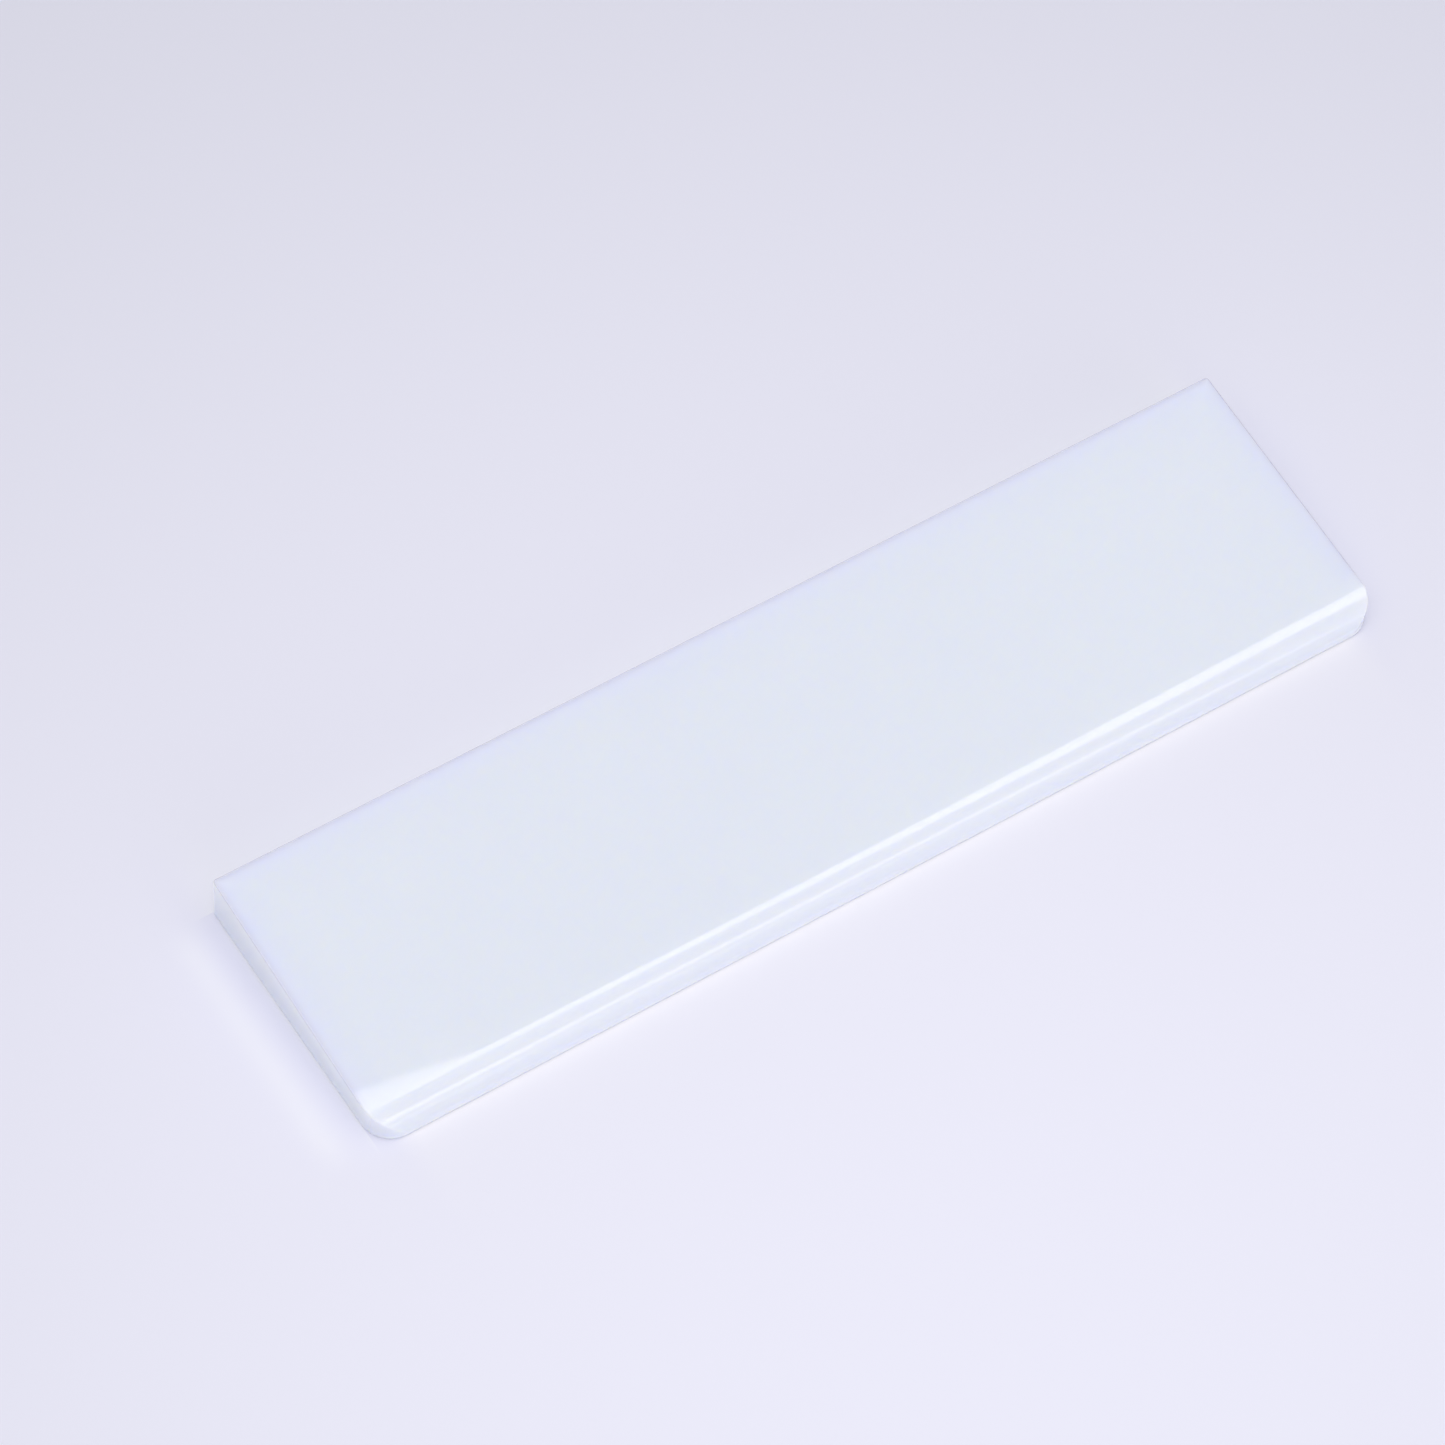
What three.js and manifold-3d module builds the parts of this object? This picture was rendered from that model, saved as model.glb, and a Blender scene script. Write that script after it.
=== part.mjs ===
// Wedge-shaped palm rest: one polished slab of milk-white acrylic, thick at the
// back and thin at the front, with a quarter-round nose along the front long
// edge, rounded front corners in plan and nearly square back corners. It stands
// on six thin round anti-slip feet, each with its own adhesive disc.
//
// Frame: millimetres, +Z up. X runs along the length, the nose is on the -Y
// side and the back face on the +Y side. The origin is the middle of the
// footprint on the table, under the feet.

import * as THREE from 'three';
import { mergeVertices } from 'three/addons/utils/BufferGeometryUtils.js';
import Module from 'manifold-3d';

// ---------------------------------------------------------------- dimensions
// Slab
const LENGTH = 361;            // end face to end face
const DEPTH = 95;              // back face to the nose
const BACK_HEIGHT = 17.8;      // sloped top, extended to the back face
const FRONT_HEIGHT = 9.35;     // sloped top, extended to the front
const NOSE_RADIUS = 9.3;
const FRONT_CORNER_RADIUS = 9.8; // seen from above
const BACK_CORNER_RADIUS = 1.0;  // seen from above
const EDGE_BREAK = 0.7;        // rounding of the two long back edges
const FRONT_BREAK = 0.12;      // chamfer between the front land and the underside

// Feet and adhesive discs
const FOOT_RADIUS = 5.0;
const FOOT_THICK = 0.2;
const FOOT_CHAMFER = 0.08;
const GLUE_RADIUS = 4.6;
const GLUE_THICK = 0.1;
const FOOT_PITCH = 158;        // between columns of feet, along X
const FOOT_COLUMNS = [
  { name: 'left', x: -FOOT_PITCH },
  { name: 'centre', x: 0 },
  { name: 'right', x: FOOT_PITCH },
];
const FOOT_ROWS = [
  { name: 'front', y: -29 },
  { name: 'back', y: 37 },
];

const UNDERSIDE_Z = FOOT_THICK + GLUE_THICK;

// Facets and modelling allowances
const NOSE_STEPS = 28;
const FRONT_CORNER_STEPS = 20;
const BREAK_STEPS = 4;         // each long back edge and each back corner
const ROUND_STEPS = 40;        // round a foot or an adhesive disc
const OVERSHOOT = 4;           // how far the cutting prisms pass the slab
const WELD_TOLERANCE = 1e-4;

// ---------------------------------------------------------------- materials
const acrylic = new THREE.MeshStandardMaterial({
  name: 'milk_acrylic', color: 0xe9eef8, roughness: 0.08, metalness: 0,
});
const rubber = new THREE.MeshStandardMaterial({
  name: 'foot_rubber', color: 0xd9dbe0, roughness: 0.7, metalness: 0,
});
const adhesive = new THREE.MeshStandardMaterial({
  name: 'foot_adhesive', color: 0xf0f0ea, roughness: 0.5, metalness: 0,
});

// ---------------------------------------------------------------- helpers
const manifold = await Module();
manifold.setup();

// Normals and uvs are dropped so that coincident corners weld into a closed solid.
function toSolid(geometry) {
  geometry.deleteAttribute('normal');
  geometry.deleteAttribute('uv');
  const welded = mergeVertices(geometry, WELD_TOLERANCE);
  return new manifold.Manifold(new manifold.Mesh({
    numProp: 3,
    vertProperties: new Float32Array(welded.attributes.position.array),
    triVerts: new Uint32Array(welded.index.array),
  }));
}

function toGeometry(solid) {
  const mesh = solid.getMesh();
  const geometry = new THREE.BufferGeometry();
  const positions = new Float32Array(mesh.vertProperties);
  geometry.setAttribute('position', new THREE.BufferAttribute(positions, 3));
  geometry.setIndex(new THREE.BufferAttribute(new Uint32Array(mesh.triVerts), 1));
  geometry.computeVertexNormals();
  return geometry;
}

function arc(centreX, centreY, radius, from, to, steps) {
  const points = [];
  for (let i = 0; i <= steps; i += 1) {
    const angle = from + (to - from) * (i / steps);
    points.push(new THREE.Vector2(
      centreX + radius * Math.cos(angle),
      centreY + radius * Math.sin(angle),
    ));
  }
  return points;
}

function prism(outline, depth) {
  return new THREE.ExtrudeGeometry(new THREE.Shape(outline), {
    depth, bevelEnabled: false, curveSegments: 1,
  });
}

// Turns a profile of [radius, z] points about the Z axis.
function turned(profile) {
  const points = profile.map(([radius, z]) => new THREE.Vector2(radius, z));
  return new THREE.LatheGeometry(points, ROUND_STEPS).rotateX(Math.PI / 2);
}

// ---------------------------------------------------------------- slab
// Side profile in (y, z), from the front of the underside, up the back face and
// down the sloped top. The nose is tangent to the top and to a short upright
// land at the front.
function sideProfile() {
  const front = -DEPTH / 2;
  const slope = (BACK_HEIGHT - FRONT_HEIGHT) / DEPTH;
  const tilt = Math.atan(slope);
  const topNormal = Math.PI / 2 + tilt;
  const breakY = DEPTH / 2 - EDGE_BREAK;
  const topBreakZ = BACK_HEIGHT - slope * EDGE_BREAK - EDGE_BREAK / Math.cos(tilt);
  const noseY = front + NOSE_RADIUS;
  const noseZ = FRONT_HEIGHT + slope * NOSE_RADIUS - NOSE_RADIUS / Math.cos(tilt);
  return [
    new THREE.Vector2(front, FRONT_BREAK),
    new THREE.Vector2(front + FRONT_BREAK, 0),
    ...arc(breakY, EDGE_BREAK, EDGE_BREAK, -Math.PI / 2, 0, BREAK_STEPS),
    ...arc(breakY, topBreakZ, EDGE_BREAK, 0, topNormal, BREAK_STEPS),
    ...arc(noseY, noseZ, NOSE_RADIUS, topNormal, Math.PI, NOSE_STEPS),
  ];
}

// Outline from above in (x, y), anticlockwise from the front right corner.
function planOutline() {
  const frontX = LENGTH / 2 - FRONT_CORNER_RADIUS;
  const frontY = -DEPTH / 2 + FRONT_CORNER_RADIUS;
  const backX = LENGTH / 2 - BACK_CORNER_RADIUS;
  const backY = DEPTH / 2 - BACK_CORNER_RADIUS;
  const frontCorner = (x, from, to) => (
    arc(x, frontY, FRONT_CORNER_RADIUS, from, to, FRONT_CORNER_STEPS));
  const backCorner = (x, from, to) => (
    arc(x, backY, BACK_CORNER_RADIUS, from, to, BREAK_STEPS));
  return [
    ...frontCorner(frontX, -Math.PI / 2, 0),
    ...backCorner(backX, 0, Math.PI / 2),
    ...backCorner(-backX, Math.PI / 2, Math.PI),
    ...frontCorner(-frontX, Math.PI, Math.PI * 1.5),
  ];
}

// The side profile swept along X, trimmed by the outline from above.
function slabGeometry() {
  const barLength = LENGTH + 2 * OVERSHOOT;
  const bar = prism(sideProfile(), barLength);
  bar.translate(0, 0, -barLength / 2);
  // profile axes to Y and Z, sweep axis to X
  bar.applyMatrix4(new THREE.Matrix4().makeBasis(
    new THREE.Vector3(0, 1, 0),
    new THREE.Vector3(0, 0, 1),
    new THREE.Vector3(1, 0, 0),
  ));
  const plan = prism(planOutline(), BACK_HEIGHT + 2 * OVERSHOOT);
  plan.translate(0, 0, -OVERSHOOT);
  return toGeometry(toSolid(bar).intersect(toSolid(plan)));
}

function makeSlab() {
  const slab = new THREE.Mesh(slabGeometry(), acrylic);
  slab.name = 'slab';
  slab.position.z = UNDERSIDE_Z;
  return slab;
}

// ---------------------------------------------------------------- feet
// A thin round pad, chamfered where it meets the table.
function makeFoot(place) {
  const foot = new THREE.Mesh(turned([
    [0, 0],
    [FOOT_RADIUS - FOOT_CHAMFER, 0],
    [FOOT_RADIUS, FOOT_CHAMFER],
    [FOOT_RADIUS, FOOT_THICK],
    [0, FOOT_THICK],
  ]), rubber);
  foot.name = `foot_${place}`;
  return foot;
}

// The plain disc between a foot and the slab.
function makeAdhesiveDisc(place) {
  const disc = new THREE.Mesh(turned([
    [0, 0],
    [GLUE_RADIUS, 0],
    [GLUE_RADIUS, GLUE_THICK],
    [0, GLUE_THICK],
  ]), adhesive);
  disc.name = `adhesive_disc_${place}`;
  disc.position.z = FOOT_THICK;
  return disc;
}

// ---------------------------------------------------------------- assembly
const palmRest = new THREE.Group();
palmRest.add(makeSlab());

for (const row of FOOT_ROWS) {
  for (const column of FOOT_COLUMNS) {
    const place = `${row.name}_${column.name}`;
    const station = new THREE.Group();
    station.position.set(column.x, row.y, 0);
    station.add(makeFoot(place), makeAdhesiveDisc(place));
    palmRest.add(station);
  }
}

export default palmRest;
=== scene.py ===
"""Palm rest: a polished milk-white acrylic wedge on six thin stick-on feet.

The slab runs lengthwise along X. Its low rounded nose faces -Y (front), its
tall flat back faces +Y, and the feet lift it off the table at z = 0. The slab,
feet and adhesive discs are fine rounded meshes in the exact places of the CAD
pieces. Geometry is worked out in millimetres, shaders and Blender in metres.
"""
import math

import bmesh
import bpy
import numpy as np
from mathutils import Matrix, Vector


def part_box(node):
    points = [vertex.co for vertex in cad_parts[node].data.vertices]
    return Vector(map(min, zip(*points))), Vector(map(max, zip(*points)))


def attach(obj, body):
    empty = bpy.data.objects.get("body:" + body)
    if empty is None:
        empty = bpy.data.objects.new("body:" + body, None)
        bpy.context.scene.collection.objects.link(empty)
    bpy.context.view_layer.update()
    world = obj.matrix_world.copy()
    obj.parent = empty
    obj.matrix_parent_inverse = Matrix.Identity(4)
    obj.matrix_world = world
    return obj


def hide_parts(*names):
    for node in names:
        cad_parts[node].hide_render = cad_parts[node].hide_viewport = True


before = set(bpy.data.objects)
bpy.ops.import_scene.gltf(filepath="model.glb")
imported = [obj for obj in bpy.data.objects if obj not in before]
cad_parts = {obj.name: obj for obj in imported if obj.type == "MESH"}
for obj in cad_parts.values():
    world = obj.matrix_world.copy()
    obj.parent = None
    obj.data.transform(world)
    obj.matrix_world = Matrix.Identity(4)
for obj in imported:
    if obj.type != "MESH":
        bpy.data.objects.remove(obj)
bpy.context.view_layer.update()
scene = bpy.context.scene
MM = 0.001

# ------------------------------------------------------------------ slab dimensions, mm
BACK_HEIGHT = 17.8
FRONT_HEIGHT = 9.35    # sloping top carried on to the front face, above the nose
NOSE_R = 9.3
CORNER_R = 9.8         # front corners, in plan
BACK_CORNER_R = 1.0
EDGE_R = 0.62          # polished rounding of every top and upright edge
BOTTOM_R = 0.12        # only a deburred arris on the underside

# place and overall size, from the CAD slab's box
slab_low, slab_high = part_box("slab")
HALF_L = (slab_high.x - slab_low.x) / 2 / MM
HALF_W = (slab_high.y - slab_low.y) / 2 / MM
MID_X = (slab_high.x + slab_low.x) / 2 / MM
MID_Y = (slab_high.y + slab_low.y) / 2 / MM
BASE_Z = slab_low.z / MM
LEFT_X = MID_X - HALF_L
FRONT_Y = MID_Y - HALF_W
BACK_Y = MID_Y + HALF_W

# inner solid: everything pulled in by the edge radius
INNER_HALF_L = HALF_L - EDGE_R
INNER_HALF_W = HALF_W - EDGE_R
INNER_CORNER_R = CORNER_R - EDGE_R
INNER_BACK_R = BACK_CORNER_R - EDGE_R
INNER_NOSE_R = NOSE_R - EDGE_R
BACK_CORNER_START = 2 * INNER_HALF_W - INNER_BACK_R    # from the inner front

SLOPE = (BACK_HEIGHT - FRONT_HEIGHT) / (2 * HALF_W)
TILT = math.atan(SLOPE)

# mesh density
FRONT_ROWS = 41            # rows through the front corners
MIDDLE_STEPS = 45
BACK_STEPS = 4             # rows through the back corners
COLUMNS = 71
COLUMN_CROWDING = 1.35     # above 1 draws columns towards the ends
TOP_EDGE_STEPS = 6
WALL_STEPS = 8
BOTTOM_EDGE_STEPS = 5
DISC_STEPS = 72
DISC_EDGE_STEPS = 5

WELD_DISTANCE = 2e-6       # metres
DEGENERATE_DISTANCE = 1e-7


# ------------------------------------------------------------------ mesh helpers
def steps(start, stop, count):
    """Evenly spaced values after start, up to and including stop."""
    return np.linspace(start, stop, count + 1)[1:]


def turn_between(start, end, t):
    """Unit vectors turned from start to end by fraction t, row by row."""
    angle = np.arccos(np.clip((start * end).sum(1), -1, 1))
    sine = np.sin(angle)
    small = sine < 1e-5
    sine = np.where(small, 1, sine)
    start_share = np.where(small, 1 - t, np.sin((1 - t) * angle) / sine)
    end_share = np.where(small, t, np.sin(t * angle) / sine)
    turned = start * start_share[:, None] + end * end_share[:, None]
    return turned / np.linalg.norm(turned, axis=1)[:, None]


def mesh_object(name, points, faces, normals=None):
    """A smooth, welded object from points in mm, with exact normals if given."""
    mesh = bpy.data.meshes.new(name)
    mesh.from_pydata([tuple(point) for point in np.asarray(points) * MM], [], faces)
    ob = bpy.data.objects.new(name, mesh)
    scene.collection.objects.link(ob)
    if normals is not None:
        # carried as an attribute so that the normals survive welding
        carried = mesh.attributes.new("exact_n", "FLOAT_VECTOR", "POINT")
        carried.data.foreach_set("vector", np.asarray(normals, np.float32).ravel())
    bm = bmesh.new()
    bm.from_mesh(mesh)
    bmesh.ops.remove_doubles(bm, verts=bm.verts, dist=WELD_DISTANCE)
    bmesh.ops.dissolve_degenerate(bm, edges=bm.edges, dist=DEGENERATE_DISTANCE)
    bmesh.ops.recalc_face_normals(bm, faces=bm.faces)
    bm.to_mesh(mesh)
    bm.free()
    mesh.polygons.foreach_set("use_smooth", [True] * len(mesh.polygons))
    if normals is not None:
        kept = np.zeros(len(mesh.vertices) * 3, np.float32)
        mesh.attributes["exact_n"].data.foreach_get("vector", kept)
        mesh.attributes.remove(mesh.attributes["exact_n"])
        mesh.normals_split_custom_set_from_vertices([tuple(n) for n in kept.reshape(-1, 3)])
    mesh.update()
    return ob


class Shell:
    """Points, normals and faces of a surface grown from grids and strips."""

    def __init__(self):
        self.points = []
        self.normals = []
        self.faces = []

    def add(self, points, normals):
        start = len(self.points)
        self.points.extend(np.asarray(points).reshape(-1, 3).tolist())
        self.normals.extend(np.asarray(normals).reshape(-1, 3).tolist())
        return start

    def grid(self, points, normals, flip=False):
        """Add a grid of quads and return its point indices."""
        rows, columns = points.shape[:2]
        index = self.add(points, normals) + np.arange(rows * columns).reshape(rows, columns)
        for i in range(rows - 1):
            for j in range(columns - 1):
                corners = ((i, j), (i, j + 1), (i + 1, j + 1), (i + 1, j))
                face = [int(index[corner]) for corner in corners]
                if flip:
                    face = face[:1] + face[:0:-1]
                self.faces.append(tuple(face))
        return index

    def strip(self, ring, points, normals):
        """Join a closed ring to a new one and return the new ring."""
        count = len(ring)
        new = self.add(points, normals) + np.arange(count)
        for k in range(count):
            after = (k + 1) % count
            face = (ring[k], new[k], new[after], ring[after])
            self.faces.append(tuple(int(v) for v in face))
        return new


# ------------------------------------------------------------------ slab
def slab_rows():
    """Each row's distance behind the inner front, and its inset at the ends."""
    quarter = math.pi / 2
    front = INNER_CORNER_R * (1 - np.sin(np.linspace(quarter, 0, FRONT_ROWS)))
    middle = steps(INNER_CORNER_R, BACK_CORNER_START, MIDDLE_STEPS)
    back_turn = steps(0, quarter, BACK_STEPS)
    back = BACK_CORNER_START + INNER_BACK_R * np.sin(back_turn)
    front_half_chord = np.sqrt(np.maximum(INNER_CORNER_R**2 - (INNER_CORNER_R - front) ** 2, 0))
    inset = np.concatenate([
        INNER_CORNER_R - front_half_chord,
        np.zeros(len(middle)),
        INNER_BACK_R * (1 - np.cos(back_turn)),
    ])
    return np.concatenate([front, middle, back]), inset


def slab_top(y):
    """Height and normal of the inner top: a nose arc, then the sloping plane."""
    axis_y = -HALF_W + NOSE_R
    axis_z = FRONT_HEIGHT + SLOPE * NOSE_R - NOSE_R / math.cos(TILT)
    behind_axis = y - axis_y
    on_nose = y < axis_y - INNER_NOSE_R * math.sin(TILT)
    nose_z = axis_z + np.sqrt(np.maximum(INNER_NOSE_R**2 - behind_axis**2, 0))
    plane_z = axis_z + INNER_NOSE_R / math.cos(TILT) + SLOPE * behind_axis
    nose_lean = np.arcsin(np.clip(-behind_axis / INNER_NOSE_R, -1, 1))
    lean = np.where(on_nose, nose_lean, TILT)
    normals = np.stack([np.zeros_like(lean), -np.sin(lean), np.cos(lean)], 1)
    return np.where(on_nose, nose_z, plane_z), normals


def outward(row, column, distance, inset):
    """Outward plan normal at a point of the slab's outline."""
    side = -1.0 if column == 0 else 1.0
    if row == 0:
        return (0, -1, 0)
    if row == len(distance) - 1:
        return (0, 1, 0)
    if row < FRONT_ROWS:
        return (side * (INNER_CORNER_R - inset[row]) / INNER_CORNER_R,
                -(INNER_CORNER_R - distance[row]) / INNER_CORNER_R, 0)
    if row >= len(distance) - BACK_STEPS:
        backward = (distance[row] - BACK_CORNER_START) / INNER_BACK_R
        return (side * math.sqrt(max(1 - backward * backward, 0)), backward, 0)
    return (side, 0, 0)


def build_slab():
    distance, inset = slab_rows()
    y = -INNER_HALF_W + distance
    z, row_normals = slab_top(y)
    even = np.linspace(-1, 1, COLUMNS)
    spread = np.sign(even) * (1 - (1 - np.abs(even)) ** COLUMN_CROWDING)
    rows = len(y)
    inner = np.stack([
        (INNER_HALF_L - inset)[:, None] * spread[None, :],
        np.repeat(y[:, None], COLUMNS, 1),
        np.repeat(z[:, None], COLUMNS, 1),
    ], 2)
    normals = np.repeat(row_normals[:, None, :], COLUMNS, 1)

    shell = Shell()
    index = shell.grid(inner + EDGE_R * normals, normals)

    # outline, anticlockwise from the front left as seen from above
    outline = [(0, j) for j in range(COLUMNS)]
    outline += [(i, COLUMNS - 1) for i in range(1, rows)]
    outline += [(rows - 1, j) for j in range(COLUMNS - 2, -1, -1)]
    outline += [(i, 0) for i in range(rows - 2, 0, -1)]
    ring = np.array([index[place] for place in outline])
    edge = np.array([inner[place] for place in outline])
    edge_top = np.array([normals[place] for place in outline])
    out = np.array([outward(i, j, distance, inset) for i, j in outline], float)
    out /= np.linalg.norm(out, axis=1)[:, None]

    # top edge rounding
    for t in steps(0, 1, TOP_EDGE_STEPS):
        turned = turn_between(edge_top, out, t)
        ring = shell.strip(ring, edge + EDGE_R * turned, turned)
    # upright wall
    wall_top = edge[:, 2]
    bottom_r = np.minimum(BOTTOM_R, 0.75 * wall_top)
    wall = edge + EDGE_R * out
    for t in steps(0, 1, WALL_STEPS):
        points = wall.copy()
        points[:, 2] = wall_top + (bottom_r - wall_top) * t
        ring = shell.strip(ring, points, out)
    # bottom edge rounding
    down = np.tile([0.0, 0.0, -1.0], (len(outline), 1))
    arris_centre = wall - bottom_r[:, None] * out
    arris_centre[:, 2] = bottom_r
    for t in steps(0, 1, BOTTOM_EDGE_STEPS):
        turned = turn_between(out, down, t)
        ring = shell.strip(ring, arris_centre + bottom_r[:, None] * turned, turned)
    # underside: a ring in to the inner outline, then a grid
    points = edge.copy()
    points[:, 2] = 0
    shell.strip(ring, points, down)
    underside = inner.copy()
    underside[:, :, 2] = 0
    shell.grid(underside, np.tile([0.0, 0.0, -1.0], (rows, COLUMNS, 1)), flip=True)

    points = np.array(shell.points) + [MID_X, MID_Y, BASE_Z]
    return mesh_object("acrylic_slab", points, shell.faces, np.array(shell.normals))


# ------------------------------------------------------------------ feet and discs
def lathe(name, profile, centre):
    """A turned disc from (radius, z) points in mm, closed on its axis."""
    points, faces, rings = [], [], []
    for radius, z in profile:
        start = len(points)
        if radius <= 1e-9:
            points.append((centre[0], centre[1], z))
            rings.append([start] * DISC_STEPS)
            continue
        for k in range(DISC_STEPS):
            turn = 2 * math.pi * k / DISC_STEPS
            points.append((centre[0] + radius * math.cos(turn),
                           centre[1] + radius * math.sin(turn), z))
        rings.append(list(range(start, start + DISC_STEPS)))
    for lower, upper in zip(rings[:-1], rings[1:]):
        for k in range(DISC_STEPS):
            after = (k + 1) % DISC_STEPS
            # quads that touch the axis lose their repeated corner
            face = tuple(dict.fromkeys((lower[k], lower[after], upper[after], upper[k])))
            if len(face) > 2:
                faces.append(face)
    return mesh_object(name, np.array(points, float), faces)


def foot_profile(radius, bottom, top):
    """Rounded lower edge, small chamfer on the upper one."""
    rounding = 0.08
    chamfer = 0.05
    arc = [(radius - rounding + rounding * math.sin(turn),
            bottom + rounding - rounding * math.cos(turn))
           for turn in steps(0, math.pi / 2, DISC_EDGE_STEPS)]
    return [(0, bottom), (radius * 0.45, bottom), (radius - rounding, bottom), *arc,
            (radius, (bottom + top) / 2), (radius, top - chamfer), (radius - chamfer, top),
            (radius * 0.5, top), (0, top)]


def film_profile(radius, bottom, top):
    """Thin disc whose rim bulges at mid height."""
    bulge = 0.03
    return [(0, bottom), (radius * 0.5, bottom), (radius - bulge, bottom),
            (radius, (bottom + top) / 2),
            (radius - bulge, top), (radius * 0.5, top), (0, top)]


# ------------------------------------------------------------------ node helpers
class Graph:
    """A cleared node tree; every input takes either a value or a socket."""

    def __init__(self, owner, output="ShaderNodeOutputMaterial"):
        owner.use_nodes = True
        self.tree = owner.node_tree
        self.tree.nodes.clear()
        self.output = self.node(output)

    def node(self, kind, inputs=None, **settings):
        made = self.tree.nodes.new(kind)
        for setting, value in settings.items():
            setattr(made, setting, value)
        for key, value in (inputs or {}).items():
            if isinstance(value, bpy.types.NodeSocket):
                self.tree.links.new(value, made.inputs[key])
            else:
                made.inputs[key].default_value = value
        return made

    def surface(self, shader):
        self.tree.links.new(shader.outputs[0], self.output.inputs[0])

    def coords(self, space="Object"):
        return self.node("ShaderNodeTexCoord").outputs[space]

    def split(self, vector):
        parts = self.node("ShaderNodeSeparateXYZ", {0: vector}).outputs
        return parts["X"], parts["Y"], parts["Z"]

    def math(self, operation, *values):
        inputs = dict(enumerate(values))
        return self.node("ShaderNodeMath", inputs, operation=operation).outputs[0]

    def add(self, a, b):
        return self.math("ADD", a, b)

    def subtract(self, a, b):
        return self.math("SUBTRACT", a, b)

    def multiply(self, a, b):
        return self.math("MULTIPLY", a, b)

    def multiply_add(self, value, factor, addend):
        return self.math("MULTIPLY_ADD", value, factor, addend)

    def maximum(self, a, b):
        return self.math("MAXIMUM", a, b)

    def absolute(self, value):
        return self.math("ABSOLUTE", value)

    def vector_math(self, operation, inputs, output=0):
        return self.node("ShaderNodeVectorMath", inputs, operation=operation).outputs[output]

    def ramp(self, value, start, stop, low=0.0, high=1.0, interpolation="SMOOTHSTEP"):
        """Low at start, high at stop, held beyond both."""
        inputs = {"Value": value, "From Min": start, "From Max": stop,
                  "To Min": low, "To Max": high}
        made = self.node("ShaderNodeMapRange", inputs, interpolation_type=interpolation)
        return made.outputs["Result"]

    def mix(self, factor, a, b, data_type="RGBA"):
        inputs = {"Factor": factor, "A": a, "B": b}
        return self.node("ShaderNodeMix", inputs, data_type=data_type).outputs["Result"]

    def noise(self, vector, scale, detail, roughness):
        inputs = {"Vector": vector, "Scale": scale, "Detail": detail, "Roughness": roughness}
        return self.node("ShaderNodeTexNoise", inputs).outputs["Fac"]

    def bump(self, height, strength, distance, **more):
        inputs = {"Height": height, "Strength": strength, "Distance": distance, **more}
        return self.node("ShaderNodeBump", inputs).outputs[0]

    def decay(self, distance, length):
        """Exponential fall from 1 over a length in mm."""
        return self.math("EXPONENT", self.multiply(distance, -1 / (length * MM)))

    def double_decay(self, distance, near, far):
        """Sum of two decays, each given as (length in mm, amount)."""
        near_part = self.decay(distance, near[0])
        far_part = self.decay(distance, far[0])
        return self.multiply_add(near_part, near[1], self.multiply(far_part, far[1]))

    def shade(self, colour, amount, tint):
        """Multiply the colour by 1 + amount * tint."""
        change = self.vector_math("SCALE", {0: tint, "Scale": amount})
        factor = self.vector_math("ADD", {0: change, 1: (1.0, 1.0, 1.0)})
        return self.vector_math("MULTIPLY", {0: colour, 1: factor})


def new_material(name):
    material = bpy.data.materials.new(name)
    return material, Graph(material)


# ------------------------------------------------------------------ materials
# body colour, between the two ends of a faint cloudiness
BODY_A = (0.779, 0.816, 0.970, 1)
BODY_B = (0.793, 0.830, 0.983, 1)
# painted shade: darkening of the body colour at the edges: (decay length in mm, amount), near and
# far
END_PAINTED_SHADE = {"near": (1.0, 0.20), "far": (5.0, 0.080)}
BACK_PAINTED_SHADE = {"near": (1.0, 0.34), "far": (5.0, 0.075)}
RIM_PAINTED_SHADE_LENGTH = 1.0
GRAZING_PAINTED_SHADE = 0.50        # extra darkening of the rim seen at a low angle
# relative change of red, green and blue at full effect
PAINTED_EDGE_SHADE_TINT = (-1.0, -1.05, -0.85)
NOSE_PAINTED_BOUNCE_TINT = (-0.015, -0.025, -0.095)
SOLE_PAINTED_LIGHT = (0.10, 0.09, 0.04)
END_PAINTED_LIGHT_TINT = (0.06, 0.04, 0.01)


def above_base(height):
    """Height above the slab's underside in mm, as z in metres."""
    return (BASE_Z + height) * MM


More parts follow.
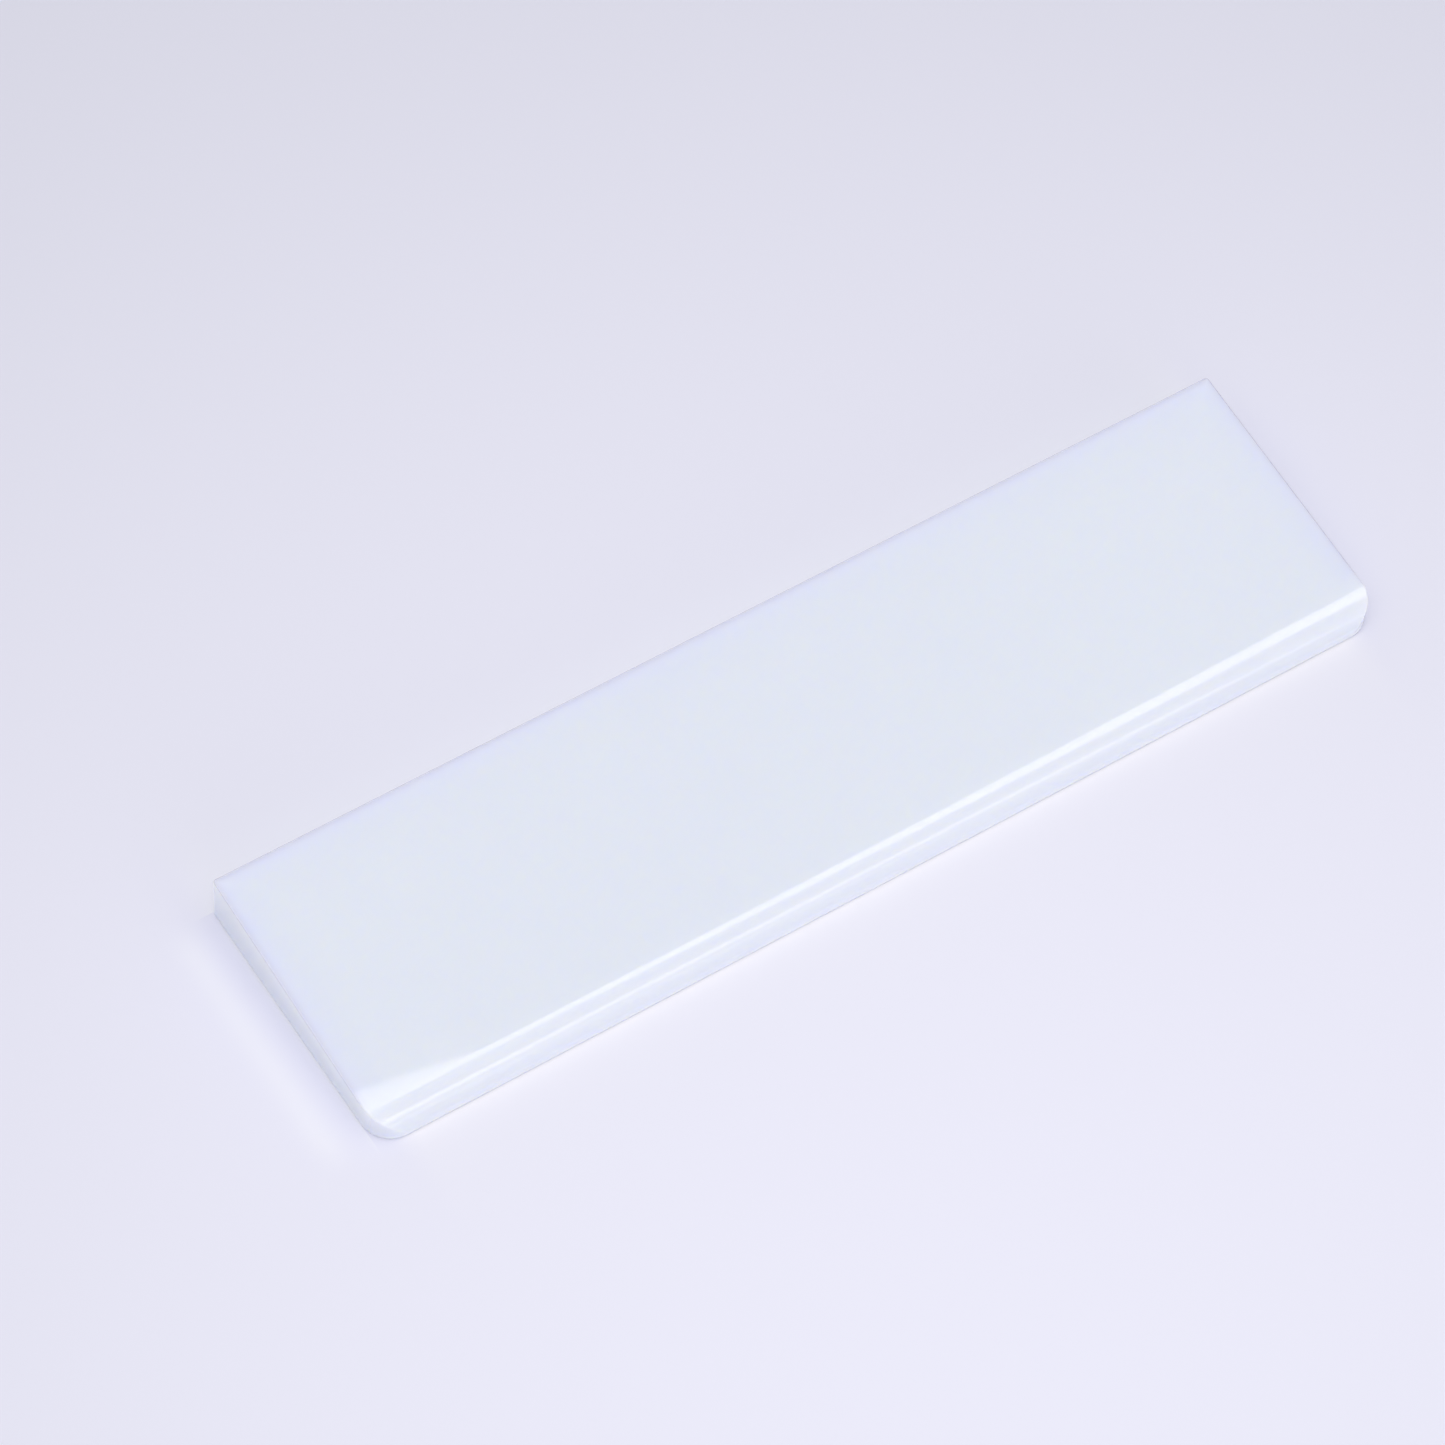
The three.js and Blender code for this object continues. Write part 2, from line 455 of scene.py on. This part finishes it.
def acrylic_colour(g, position, geometry):
    """Cloudy milk white, with painted shade at the edges and painted light and tints by place and
    facing.
    """
    x, y, z = g.split(position)
    normal_x, normal_y, normal_z = facing = g.split(geometry.outputs["Normal"])
    cloud = g.noise(position, scale=14.0, detail=3.0, roughness=0.5)
    colour = g.mix(cloud, BODY_A, BODY_B)

    # painted shade: the body colour darkens towards the sharp edges and the rim seen at a low
    # angle, standing in for light leaking out of them
    from_middle = g.absolute(g.subtract(x, MID_X * MM))
    from_end = g.maximum(g.subtract(HALF_L * MM, from_middle), 0.0)
    from_back = g.maximum(g.subtract(BACK_Y * MM, y), 0.0)
    off_nose = g.ramp(y, start=-0.045, stop=-0.030)
    view = {0: geometry.outputs["Incoming"], 1: geometry.outputs["Normal"]}
    view_dot = g.vector_math("DOT_PRODUCT", view, "Value")
    painted_grazing_shade = g.multiply(g.ramp(view_dot, start=0.84, stop=0.45), GRAZING_PAINTED_SHADE)
    painted_end_shade = g.multiply(g.double_decay(from_end, **END_PAINTED_SHADE),
                         g.ramp(normal_z, start=0.35, stop=0.95))
    painted_back_shade = g.multiply(g.double_decay(from_back, **BACK_PAINTED_SHADE),
                         g.ramp(normal_z, start=0.0, stop=0.35))
    painted_rim_shade = g.decay(g.math("MINIMUM", from_end, from_back), RIM_PAINTED_SHADE_LENGTH)
    painted_rim_shade = g.multiply(g.multiply(painted_rim_shade, painted_grazing_shade), g.ramp(normal_z, start=0.0, stop=0.35))
    painted_rim_shade = g.add(g.multiply(painted_end_shade, off_nose), g.multiply(painted_rim_shade, off_nose))
    colour = g.shade(colour, g.maximum(painted_rim_shade, painted_back_shade), PAINTED_EDGE_SHADE_TINT)

    # painted tint: the nose faces the cool table, so its colour is painted a touch warmer to offset
    # the blue bounce light
    painted_nose_tint = g.multiply(
        g.ramp(normal_y, start=-0.15, stop=-0.6),
        g.ramp(z, start=above_base(1), stop=above_base(4), low=0.35),
    )
    colour = g.shade(colour, painted_nose_tint, NOSE_PAINTED_BOUNCE_TINT)
    # painted light: the lowest part of the nose is brightened, where light pools
    painted_sole_light = g.multiply(
        g.ramp(z, start=above_base(1.6), stop=above_base(0.2)),
        g.ramp(normal_y, start=-0.5, stop=-0.9),
    )
    colour = g.shade(colour, painted_sole_light, SOLE_PAINTED_LIGHT)
    # painted light: both ends are brightened towards their upper edge
    painted_end_glow = g.multiply(
        g.ramp(g.absolute(normal_x), start=0.3, stop=0.8),
        g.ramp(z, start=above_base(3), stop=above_base(16)),
    )
    return g.shade(colour, painted_end_glow, END_PAINTED_LIGHT_TINT), z, facing


def acrylic_finish(g, position, geometry):
    """Roughness and normal: satin ends, back and underside, the rest polished."""
    x, y, z = g.split(geometry.outputs["True Normal"])
    ground = g.maximum(g.maximum(g.absolute(x), y), g.multiply(z, -1.0))
    satin = g.ramp(ground, start=0.8, stop=0.98)
    # smudges: very slight roughness patches on the polished faces
    smudge = g.noise(position, scale=38.0, detail=4.0, roughness=0.55)
    polished = g.ramp(smudge, start=0.35, stop=0.8, low=0.018, high=0.045,
                      interpolation="LINEAR")
    satin_roughness = 0.34
    roughness = g.mix(satin, polished, satin_roughness, data_type="FLOAT")
    # polish waviness everywhere, fine grinding grain on the satin faces
    wave = g.noise(position, scale=55.0, detail=1.0, roughness=0.4)
    wavy = g.bump(wave, strength=0.02, distance=0.0004)
    stretch = {"Vector": position, "Scale": (900.0, 900.0, 5200.0)}
    stretched = g.node("ShaderNodeMapping", stretch).outputs[0]
    grain = g.noise(stretched, scale=1.0, detail=3.0, roughness=0.6)
    normal = g.bump(g.multiply(grain, satin), strength=0.12, distance=0.00004, Normal=wavy)
    return roughness, normal


def acrylic_material():
    material, g = new_material("milk_acrylic_polished")
    position = g.coords()
    geometry = g.node("ShaderNodeNewGeometry")
    colour, z, (normal_x, normal_y, normal_z) = acrylic_colour(g, position, geometry)
    roughness, normal = acrylic_finish(g, position, geometry)
    # light travels farther in the thick upper body than near the underside
    scatter = g.ramp(z, start=above_base(0.5), stop=above_base(8.0), low=0.0009, high=0.0050)
    # the broken back and right edges hardly mirror at grazing angles
    outer = g.maximum(g.ramp(normal_y, start=0.05, stop=0.3),
                      g.ramp(normal_x, start=0.05, stop=0.3))
    outer = g.multiply(outer, g.ramp(normal_z, start=0.0, stop=0.3))
    g.surface(g.node("ShaderNodeBsdfPrincipled", {
        "Base Color": colour,
        "Roughness": roughness,
        "Normal": normal,
        "IOR": 1.49,
        "Specular IOR Level": g.multiply_add(outer, factor=-0.42, addend=0.5),
        "Subsurface Weight": 1.0,
        "Subsurface Radius": (1.15, 1.05, 0.8),
        "Subsurface Scale": scatter,
    }, subsurface_method="RANDOM_WALK"))
    return material


def rubber_material():
    material, g = new_material("silicone_rubber")
    speck = g.noise(g.coords(), scale=900.0, detail=3.0, roughness=0.6)
    g.surface(g.node("ShaderNodeBsdfPrincipled", {
        "Base Color": g.mix(speck, (0.62, 0.63, 0.67, 1), (0.72, 0.73, 0.77, 1)),
        "Roughness": 0.62,
        "Normal": g.bump(speck, strength=0.25, distance=0.00005),
        "Subsurface Weight": 0.35,
        "Subsurface Scale": 0.0008,
    }))
    return material


def glue_material():
    material, g = new_material("adhesive_film")
    cells = g.node("ShaderNodeTexVoronoi", {"Vector": g.coords(), "Scale": 700.0})
    colour = g.mix(cells.outputs["Distance"], (0.78, 0.78, 0.74, 1), (0.86, 0.86, 0.83, 1))
    g.surface(g.node("ShaderNodeBsdfPrincipled", {"Base Color": colour, "Roughness": 0.4}))
    return material


# ------------------------------------------------------------------ floor
# plain pale floor: one tone, with one soft pool of light painted into it
FLOOR_HALF = 40.0          # metres
FLOOR_TONE = (0.8130, 0.8100, 0.9190)
PAINTED_POOL_FAR = 0.75            # brightness far from the pool
# log of the painted pool's added brightness: factors of 1, x, y, xx, xy, yy in metres
PAINTED_POOL = (-1.2521, -0.3306, -1.1011, -3.1388, 0.3661, -2.8933)
# painted light on the floor: light thrown by the nose, as (decay length in mm, amount)
NOSE_PAINTED_GLOW = {"near": (2.6, 0.11), "far": (14.0, 0.05)}
PAINTED_GLOW_TINT = (1.0, 0.9, 0.2)
# painted light on the floor: bounce behind the back face
BACK_PAINTED_SPILL_LENGTH = 12.0
BACK_PAINTED_SPILL = 0.16
# painted light on the floor: bounce beside the left end: a decay at the slab and a broad band
# farther out
PAINTED_TOUCH_LENGTH = 1.1
PAINTED_TOUCH_AMOUNT = 0.13
PAINTED_BAND_DISTANCE = 12
PAINTED_BAND_WIDTH = 5
PAINTED_BAND_AMOUNT = 0.05
PAINTED_SPILL_TINT = (1.0, 1.05, 0.35)
# painted light: glow of the floor under the slab
PAINTED_THROUGH_GLOW = 0.05             # light that comes through the slab


def within(g, value, full, none):
    """1 up to `full` mm either side of zero, 0 beyond `none` mm."""
    return g.ramp(g.absolute(value), start=none * MM, stop=full * MM)


def painted_nose_glow(g, x, y):
    """Painted light on the floor: the faint line of light the polished nose throws onto the table.
    """
    ahead = g.subtract(FRONT_Y * MM, y)
    in_front = g.math("GREATER_THAN", ahead, 0.0)
    painted_glow = g.double_decay(g.maximum(ahead, 0.0), **NOSE_PAINTED_GLOW)
    painted_glow = g.multiply(painted_glow, in_front)
    return g.multiply(painted_glow, within(g, x, full=HALF_L - 14, none=HALF_L - 3))


def painted_face_spill(g, x, y):
    """Painted light on the floor: bounce from the milky back face and the left end face."""
    behind = g.subtract(y, BACK_Y * MM)
    back = g.decay(g.maximum(behind, 0.0), BACK_PAINTED_SPILL_LENGTH)
    back = g.multiply(g.multiply(back, BACK_PAINTED_SPILL), g.math("GREATER_THAN", behind, 0.0))
    back = g.multiply(back, within(g, x, full=HALF_L - 8, none=HALF_L + 8))

    beside = g.subtract(LEFT_X * MM, x)
    clear = g.maximum(beside, 0.0)
    painted_touch = g.decay(clear, PAINTED_TOUCH_LENGTH)
    off_band = g.math("DIVIDE", g.subtract(clear, PAINTED_BAND_DISTANCE * MM), PAINTED_BAND_WIDTH * MM)
    painted_band = g.math("EXPONENT", g.multiply(g.multiply(off_band, off_band), -1.0))
    painted_left_spill = g.multiply_add(painted_touch, PAINTED_TOUCH_AMOUNT, g.multiply(painted_band, PAINTED_BAND_AMOUNT))
    painted_left_spill = g.multiply(painted_left_spill, g.math("GREATER_THAN", beside, 0.0))
    painted_left_spill = g.multiply(painted_left_spill, within(g, y, full=HALF_W - 12, none=HALF_W + 4))
    return g.add(back, painted_left_spill)


def footprint(g, x, y):
    """1 under the slab, with its rounded front corners, 0 elsewhere."""
    from_middle = g.absolute(g.subtract(x, MID_X * MM))
    past_x = g.maximum(g.subtract(from_middle, (HALF_L - CORNER_R) * MM), 0.0)
    past_y = g.maximum(g.subtract((FRONT_Y + CORNER_R) * MM, y), 0.0)
    squared = g.add(g.multiply(past_x, past_x), g.multiply(past_y, past_y))
    in_corners = g.math("LESS_THAN", g.math("SQRT", squared), CORNER_R * MM)
    before_back = g.math("LESS_THAN", y, BACK_Y * MM)
    return g.multiply(in_corners, before_back)


def floor_material():
    material, g = new_material("pale_paper")
    x, y, _ = g.split(g.coords())
    painted_glow = painted_nose_glow(g, x, y)
    painted_spill = painted_face_spill(g, x, y)
    # painted light: the pool of light painted into the floor colour falls off away from the middle
    # of the table
    level = PAINTED_POOL[0]
    terms = (x, y, g.multiply(x, x), g.multiply(x, y), g.multiply(y, y))
    for factor, term in zip(PAINTED_POOL[1:], terms):
        level = g.multiply_add(term, factor, level)
    level = g.add(g.math("EXPONENT", level), PAINTED_POOL_FAR)
    channels = {}
    for axis, tone, painted_glow_tint, painted_spill_tint in zip("XYZ", FLOOR_TONE, PAINTED_GLOW_TINT, PAINTED_SPILL_TINT):
        painted_light_factor = g.multiply_add(painted_spill, painted_spill_tint, g.multiply_add(painted_glow, painted_glow_tint, 1.0))
        channels[axis] = g.multiply(g.multiply(level, tone), painted_light_factor)
    colour = g.node("ShaderNodeCombineXYZ", channels).outputs[0]
    paper = g.node("ShaderNodeBsdfDiffuse", {"Color": colour})
    # painted light: the floor under the slab glows a little, standing in for light the translucent
    # slab lets through onto the table
    painted_through_glow = g.node("ShaderNodeEmission", {
        "Color": (0.95, 0.96, 1.0, 1),
        "Strength": g.multiply(footprint(g, x, y), PAINTED_THROUGH_GLOW),
    })
    g.surface(g.node("ShaderNodeAddShader", {0: paper.outputs[0], 1: painted_through_glow.outputs[0]}))
    return material


def build_floor():
    mesh = bpy.data.meshes.new("floor")
    corners = [(FLOOR_HALF * x, FLOOR_HALF * y, 0) for x, y in ((-1, -1), (1, -1), (1, 1), (-1, 1))]
    mesh.from_pydata(corners, [], [(0, 1, 2, 3)])
    ob = bpy.data.objects.new("floor", mesh)
    scene.collection.objects.link(ob)
    mesh.materials.append(floor_material())


# ------------------------------------------------------------------ world
SKY_TINT = (0.99, 0.99, 1.00, 1)
SKY_BASE = 0.33
HORIZON = 0.60
BACKDROP_SHARE = 0.97      # backdrop brightness against the far floor
# soft sky lobes: azimuth from +X towards +Y, elevation, sharpness, radiance
SKY_LOBES = [
    (270, 5, 7.0, 1.95),
    (90, 5, 7.0, 0.80),
    (120, 5, 2.5, 0.20),
    (180, 65, 7.0, 0.94),
    (330, 65, 7.0, 0.694),
    (0, 65, 7.0, 0.191),
    (0, 90, 10.0, 0.316),
]


def build_world():
    world = bpy.data.worlds.new("studio")
    scene.world = world
    g = Graph(world, "ShaderNodeOutputWorld")
    direction = g.coords("Generated")
    level = SKY_BASE
    for azimuth, elevation, sharpness, radiance in SKY_LOBES:
        a, e = math.radians(azimuth), math.radians(elevation)
        centre = (math.cos(e) * math.cos(a), math.cos(e) * math.sin(a), math.sin(e))
        dot = g.vector_math("DOT_PRODUCT", {0: direction, 1: centre}, "Value")
        lobe = g.math("EXPONENT", g.multiply_add(dot, sharpness, -sharpness))
        level = g.multiply_add(lobe, radiance, level)
    # the pale floor and walls go on to the horizon all round
    horizon = g.ramp(g.split(direction)[2], start=0.15, stop=0.05, high=HORIZON)
    level = g.maximum(level, horizon)
    sky = g.node("ShaderNodeBackground", {"Color": SKY_TINT, "Strength": level})
    # the camera itself sees a plain backdrop in the floor's tone
    tone = tuple(BACKDROP_SHARE * PAINTED_POOL_FAR * channel for channel in FLOOR_TONE) + (1,)
    backdrop = g.node("ShaderNodeBackground", {"Color": tone})
    seen = g.node("ShaderNodeLightPath").outputs["Is Camera Ray"]
    g.surface(g.node("ShaderNodeMixShader", {
        0: seen,
        1: sky.outputs[0],
        2: backdrop.outputs[0],
    }))


# ------------------------------------------------------------------ softboxes
# two long edges of each ribbon, x, y, z in mm
OVERHEAD_FRONT = [
    (10, -30, 800), (86, -86, 800), (146, -132, 800), (219, -207, 800), (306, -274, 800),
    (390, -355, 800), (473, -388, 800), (530, -360, 800), (610, -350, 800),
]
OVERHEAD_BACK = [
    (10, 200, 800), (96, 186, 800), (154, 145, 800), (220, 92, 800), (301, 66, 800),
    (376, 82, 800), (452, 120, 800), (521, 170, 800), (610, 190, 800),
]
FRONT_LOWER = [
    (130, -1200, 420), (209, -1200, 430), (279, -1200, 425), (354, -1200, 372),
    (442, -1200, 300), (516, -1200, 205), (595, -1200, 105), (664, -1200, 40),
    (730, -1200, 15),
]
FRONT_UPPER = [
    (240, -1200, 1150), (316, -1200, 1100), (385, -1200, 1061), (454, -1200, 965),
    (527, -1200, 850), (609, -1200, 780), (661, -1200, 626), (697, -1200, 430),
    (740, -1200, 300),
]


def card_material(name, strength, fade, hump):
    """Glow that falls by `fade` along; across, hump 0 is flat and 1 a soft arch."""
    material, g = new_material(name)
    u, v, _ = g.split(g.coords("UV"))
    arch = g.multiply(g.multiply(v, g.subtract(1.0, v)), 4.0)
    across = g.multiply_add(g.subtract(arch, 1.0), hump, 1.0)
    along = g.multiply_add(u, -fade, 1.0)
    level = g.maximum(g.multiply(across, along), 0.0)
    g.surface(g.node("ShaderNodeEmission", {
        "Color": (1.0, 0.965, 0.955, 1),
        "Strength": g.multiply(level, strength),
    }))
    return material


def card(name, first_edge, second_edge, strength, fade, hump):
    """A softbox ribbon between two edges, seen only in reflections."""
    count = len(first_edge)
    mesh = bpy.data.meshes.new(name)
    points = [tuple(np.array(point) * MM) for point in first_edge + second_edge]
    faces = [(i, i + 1, count + i + 1, count + i) for i in range(count - 1)]
    mesh.from_pydata(points, [], faces)
    uv = mesh.uv_layers.new(name="uv")
    for face in mesh.polygons:
        i = face.index
        corners = [(i, 0), (i + 1, 0), (i + 1, 1), (i, 1)]
        for loop, (station, v) in zip(face.loop_indices, corners):
            uv.data[loop].uv = (station / (count - 1), v)
    ob = bpy.data.objects.new(name, mesh)
    scene.collection.objects.link(ob)
    mesh.materials.append(card_material(name, strength, fade, hump))
    for ray in ("camera", "diffuse", "shadow", "transmission", "volume_scatter"):
        setattr(ob, "visible_" + ray, False)


# ------------------------------------------------------------------ camera
SENSOR_WIDTH = 36.0        # mm
FOCAL_LENGTH = 164.137578  # mm
CAMERA_PLACE = Vector((-0.68635440, -0.85218747, 1.67462464))
CAMERA_RIGHT = Vector((0.8384375, -0.54247532, 0.0523744))
CAMERA_UP = Vector((0.42968391, 0.717092, 0.54877209))


def build_camera():
    camera = bpy.data.cameras.new("camera")
    camera.sensor_width = SENSOR_WIDTH
    camera.lens = FOCAL_LENGTH
    camera.clip_end = 100
    ob = bpy.data.objects.new("camera", camera)
    scene.collection.objects.link(ob)
    back = CAMERA_RIGHT.cross(CAMERA_UP).normalized()
    right = CAMERA_UP.cross(back).normalized()
    turn = Matrix((right, CAMERA_UP, back)).transposed().to_4x4()
    ob.matrix_world = Matrix.Translation(CAMERA_PLACE) @ turn
    scene.camera = ob


# ------------------------------------------------------------------ assembly
def install(piece, material, cad_name):
    """Give a piece its material and let it stand in for a CAD piece."""
    piece.data.materials.append(material)
    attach(piece, "root")
    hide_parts(cad_name)


install(build_slab(), acrylic_material(), "slab")

# CAD name prefix, new name prefix, profile, material, slot
disc_kinds = (
    ("foot_", "pad_", foot_profile, rubber_material(), "foot_rubber"),
    ("adhesive_disc_", "film_", film_profile, glue_material(), "foot_adhesive"),
)
for cad_name in sorted(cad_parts):
    for cad_prefix, prefix, profile, material, slot_name in disc_kinds:
        if cad_name.startswith(cad_prefix):
            low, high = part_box(cad_name)
            centre = ((low.x + high.x) / 2 / MM, (low.y + high.y) / 2 / MM)
            outline = profile((high.x - low.x) / 2 / MM, low.z / MM, high.z / MM)
            disc = lathe(prefix + cad_name[len(cad_prefix):], outline, centre)
            install(disc, material, cad_name)

scene.view_settings.view_transform = "Standard"
scene.view_settings.look = "None"
build_floor()
build_world()
# long overhead softbox: a crisp line high on the nose
card("overhead_strip", OVERHEAD_FRONT, OVERHEAD_BACK, strength=4.2, fade=0.0, hump=0.0)
# farther one in front, reaching lower: the softer second line
card("front_strip", FRONT_LOWER, FRONT_UPPER, strength=4.2, fade=0.45, hump=0.9)
build_camera()
